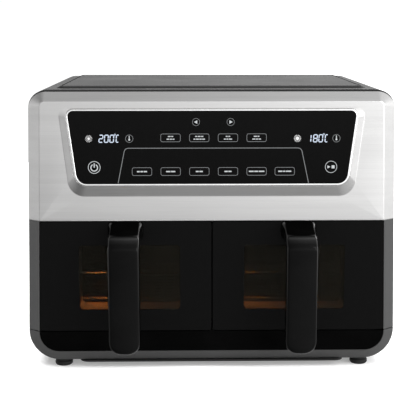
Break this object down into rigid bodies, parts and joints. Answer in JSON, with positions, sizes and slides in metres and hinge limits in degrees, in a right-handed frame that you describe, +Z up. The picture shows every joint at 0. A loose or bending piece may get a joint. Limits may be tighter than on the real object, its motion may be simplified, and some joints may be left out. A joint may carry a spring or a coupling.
{
  "type": "dual drawer air fryer",
  "caption": "Twin drawer air fryer with glass windows, black handles, a steel fascia and a touch panel; drawers slide out and crisper plates lift.",
  "frame": {"origin": "on the resting surface under the feet, at the middle of the footprint's box", "axes": "+X from left to right as seen from the front, +Y from front to back, +Z up"},
  "size_m": [0.4078, 0.375, 0.3124],
  "materials": {
    "brushed_steel": "satin stainless steel with a fine horizontal brushing",
    "bright_trim": "bright polished edge",
    "black_glass": "black back-printed toughened glass",
    "window_glass": "smoked toughened glass",
    "charcoal_plastic": "fine-textured charcoal moulding",
    "black_plastic": "moulded black, fine spark-eroded texture",
    "gloss_black": "gloss black moulding",
    "handle_plastic": "satin black moulding",
    "rubber": "moulded black rubber",
    "sheet_steel": "aluminised pressed sheet steel",
    "screw_steel": "bright zinc plating",
    "heater_metal": "oxidised tubular heating element sheath",
    "motor_steel": "motor can, drawn and plated",
    "cooling_fan_plastic": "natural moulded plastic",
    "circuit_board": "green solder mask",
    "component_plastic": "moulded component cases",
    "insulation_mat": "ceramic fibre mat",
    "lamp_glass": "warm lamp glass",
    "nonstick": "dark non-stick coating on pressed steel"
  },
  "bodies": {
    "housing": {"fascia": "brushed_steel", "panel_trim": "bright_trim", "control_glass": "black_glass", "panel_carrier": "black_plastic", "display_board": "circuit_board", "display_modules": "black_plastic", "outer_wrap": "charcoal_plastic", "top_plate": "charcoal_plastic", "rear_cover": "charcoal_plastic", "rear_spacers": "rubber", "housing_screws": "screw_steel", "outlet_ducts": "black_plastic", "cord_gland": "rubber", "base_tray": "charcoal_plastic", "bottom_pan": "black_plastic", "feet": "rubber", "front_sill": "gloss_black", "front_frame": "black_plastic", "drawer_rails": "sheet_steel", "drawer_switches": "black_plastic", "insulation": "insulation_mat", "motor_deck": "sheet_steel", "power_board": "circuit_board", "power_components": "component_plastic", "temperature_probes": "screw_steel", "chamber_lamps": "lamp_glass", "left_chamber": "sheet_steel", "left_heater": "heater_metal", "left_heater_guard": "sheet_steel", "left_motor": "motor_steel", "right_chamber": "sheet_steel", "right_heater": "heater_metal", "right_heater_guard": "sheet_steel", "right_motor": "motor_steel"},
    "left_fan": {"left_shaft": "screw_steel", "left_convection_fan": "sheet_steel", "left_cooling_fan": "cooling_fan_plastic"},
    "left_drawer": {"left_drawer_pane": "black_glass", "left_drawer_frame": "black_plastic", "left_window_liner": "bright_trim", "left_window_glass": "window_glass", "left_window_seal": "rubber", "left_window_clamp": "sheet_steel", "left_basket": "nonstick", "left_handle": "handle_plastic", "left_handle_screws": "screw_steel"},
    "left_crisper": {"left_crisper_plate": "nonstick"},
    "right_fan": {"right_shaft": "screw_steel", "right_convection_fan": "sheet_steel", "right_cooling_fan": "cooling_fan_plastic"},
    "right_drawer": {"right_drawer_pane": "black_glass", "right_drawer_frame": "black_plastic", "right_window_liner": "bright_trim", "right_window_glass": "window_glass", "right_window_seal": "rubber", "right_window_clamp": "sheet_steel", "right_basket": "nonstick", "right_handle": "handle_plastic", "right_handle_screws": "screw_steel"},
    "right_crisper": {"right_crisper_plate": "nonstick"}
  },
  "joints": [
    {"name": "left_drawer_slide", "type": "slide", "parent": "housing", "child": "left_drawer", "axis": [0, -1, 0], "range_m": [0, 0.215]},
    {"name": "left_crisper_lift", "type": "slide", "parent": "left_drawer", "child": "left_crisper", "axis": [0, 0, 1], "range_m": [0, 0.09]},
    {"name": "left_fan_spin", "type": "hinge", "parent": "housing", "child": "left_fan", "pos_m": [-0.094, 0.0195, 0.2], "axis": [0, 0, 1], "continuous": true},
    {"name": "right_drawer_slide", "type": "slide", "parent": "housing", "child": "right_drawer", "axis": [0, -1, 0], "range_m": [0, 0.215]},
    {"name": "right_crisper_lift", "type": "slide", "parent": "right_drawer", "child": "right_crisper", "axis": [0, 0, 1], "range_m": [0, 0.09]},
    {"name": "right_fan_spin", "type": "hinge", "parent": "housing", "child": "right_fan", "pos_m": [0.094, 0.0195, 0.2], "axis": [0, 0, 1], "continuous": true}
  ]
}
